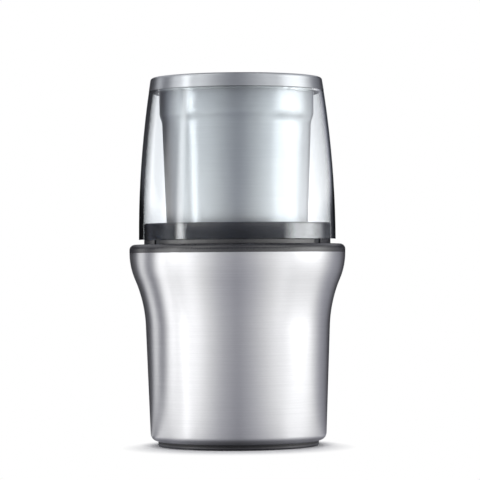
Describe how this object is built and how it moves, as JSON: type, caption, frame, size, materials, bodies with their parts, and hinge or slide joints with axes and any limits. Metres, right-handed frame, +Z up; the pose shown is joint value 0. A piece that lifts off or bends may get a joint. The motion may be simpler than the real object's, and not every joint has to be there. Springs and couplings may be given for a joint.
{
  "type": "electric spice grinder",
  "caption": "Countertop spice grinder: flared steel motor base, lift-out steel bowl with a blade, and a clear press-down lid that starts the motor.",
  "frame": {"origin": "centre of the foot ring's underside, on the surface the grinder stands on", "axes": "+Z up along the grinder's axis, front faces -Y, cord exit at +Y"},
  "size_m": [0.1154, 0.1154, 0.1963],
  "materials": {
    "steel_casing": "brushed around the axis, fine satin grain",
    "steel_bowl": "brushed around the axis, fine satin grain",
    "steel_cap": "brushed around the axis, fine satin grain",
    "grey_plastic": "satin moulded, fine texture",
    "slate_plastic": "polished moulded",
    "clear_plastic": "clear polished moulded",
    "black_plastic": "fine spark texture",
    "foot_rubber": "matt moulded rubber",
    "white_silicone": "matt silicone",
    "red_silicone": "matt silicone",
    "blade_steel": "polished stainless, ground edges",
    "screw_steel": "zinc plated",
    "shaft_steel": "ground",
    "lamination": "stacked electrical steel",
    "copper_winding": "enamelled copper wire",
    "copper_bars": "turned copper",
    "bronze": "sintered bronze",
    "die_cast": "as cast",
    "brass_fitting": "stamped brass",
    "carbon": "pressed carbon, matt",
    "fan_plastic": "moulded",
    "switch_plastic": "moulded",
    "button_plastic": "moulded",
    "yellow_film": "coated film case",
    "ivory_plastic": "moulded",
    "lead_sleeve": "extruded insulation"
  },
  "bodies": {
    "root": {"housing_shell": "steel_casing", "collar": "grey_plastic", "chassis": "black_plastic", "base_plate": "black_plastic", "foot_ring": "foot_rubber", "cord_spool": "black_plastic", "cord_gland": "foot_rubber", "base_screws": "screw_steel", "spool_screws": "screw_steel", "collar_screws": "screw_steel", "microswitch": "switch_plastic", "switch_terminals": "brass_fitting", "switch_screws": "screw_steel", "plunger_spring": "shaft_steel", "stator_core": "lamination", "field_coils": "copper_winding", "upper_bracket": "die_cast", "lower_bracket": "die_cast", "upper_bearing": "bronze", "lower_bearing": "bronze", "motor_screws": "screw_steel", "motor_nuts": "screw_steel", "motor_mounts": "foot_rubber", "brush_holders": "brass_fitting", "carbon_brushes": "carbon", "brush_springs": "shaft_steel", "capacitor": "yellow_film", "terminal_block": "ivory_plastic", "switch_leads": "lead_sleeve"},
    "rotor": {"motor_shaft": "shaft_steel", "armature_core": "lamination", "armature_windings": "copper_winding", "commutator": "copper_bars", "cooling_fan": "fan_plastic", "drive_coupling": "black_plastic"},
    "plunger": {"switch_plunger": "ivory_plastic"},
    "lever": {"switch_lever": "screw_steel"},
    "button": {"switch_button": "button_plastic"},
    "bowl_assembly": {"bowl": "steel_bowl", "bowl_ring": "slate_plastic", "bowl_bush": "bronze", "bush_gasket": "red_silicone", "bush_nut": "screw_steel"},
    "blades": {"blade_shaft": "shaft_steel", "blade_spacer": "shaft_steel", "blade": "blade_steel", "blade_nut": "blade_steel", "driven_coupling": "black_plastic"},
    "inner_lid": {"lid_seal_plate": "black_plastic", "lid_gasket": "white_silicone", "lid_springs": "shaft_steel"},
    "lid": {"lid_shell": "clear_plastic", "lid_cap": "steel_cap", "lid_screws": "screw_steel"}
  },
  "joints": [
    {"name": "motor_spin", "type": "hinge", "parent": "root", "child": "rotor", "pos_m": [0, 0, 0.056], "axis": [0, 0, 1], "continuous": true},
    {"name": "bowl_lift", "type": "slide", "parent": "root", "child": "bowl_assembly", "axis": [0, 0, 1], "range_m": [0, 0.06]},
    {"name": "blade_spin", "type": "hinge", "parent": "bowl_assembly", "child": "blades", "pos_m": [0, 0, 0.1177], "axis": [0, 0, 1], "continuous": true},
    {"name": "lid_lift", "type": "slide", "parent": "bowl_assembly", "child": "inner_lid", "axis": [0, 0, 1], "range_m": [0, 0.09]},
    {"name": "lid_press", "type": "slide", "parent": "inner_lid", "child": "lid", "axis": [0, 0, -1], "range_m": [0, 0.0022], "stiffness_N_per_m": 1500, "springref_m": -0.003, "deforming": ["lid_springs"]},
    {"name": "switch_press", "type": "slide", "parent": "root", "child": "plunger", "axis": [0, 0, -1], "range_m": [0, 0.0022], "stiffness_N_per_m": 300, "springref_m": -0.002, "deforming": ["plunger_spring"]},
    {"name": "lever_swing", "type": "hinge", "parent": "root", "child": "lever", "pos_m": [-0.02436, 0.04062, 0.09425], "axis": [-0.342, 0.9397, 0], "range_deg": [0, 5.52]},
    {"name": "button_press", "type": "slide", "parent": "root", "child": "button", "axis": [0, 0, -1], "range_m": [0, 0.00049]}
  ],
  "couplings": [
    {"joint": "blade_spin", "follows": "motor_spin", "ratio": 1},
    {"joint": "switch_press", "follows": "lid_press", "ratio": 1},
    {"joint": "lever_swing", "follows": "lid_press", "rad_per_m": 43.754},
    {"joint": "button_press", "follows": "lid_press", "ratio": 0.2215}
  ]
}
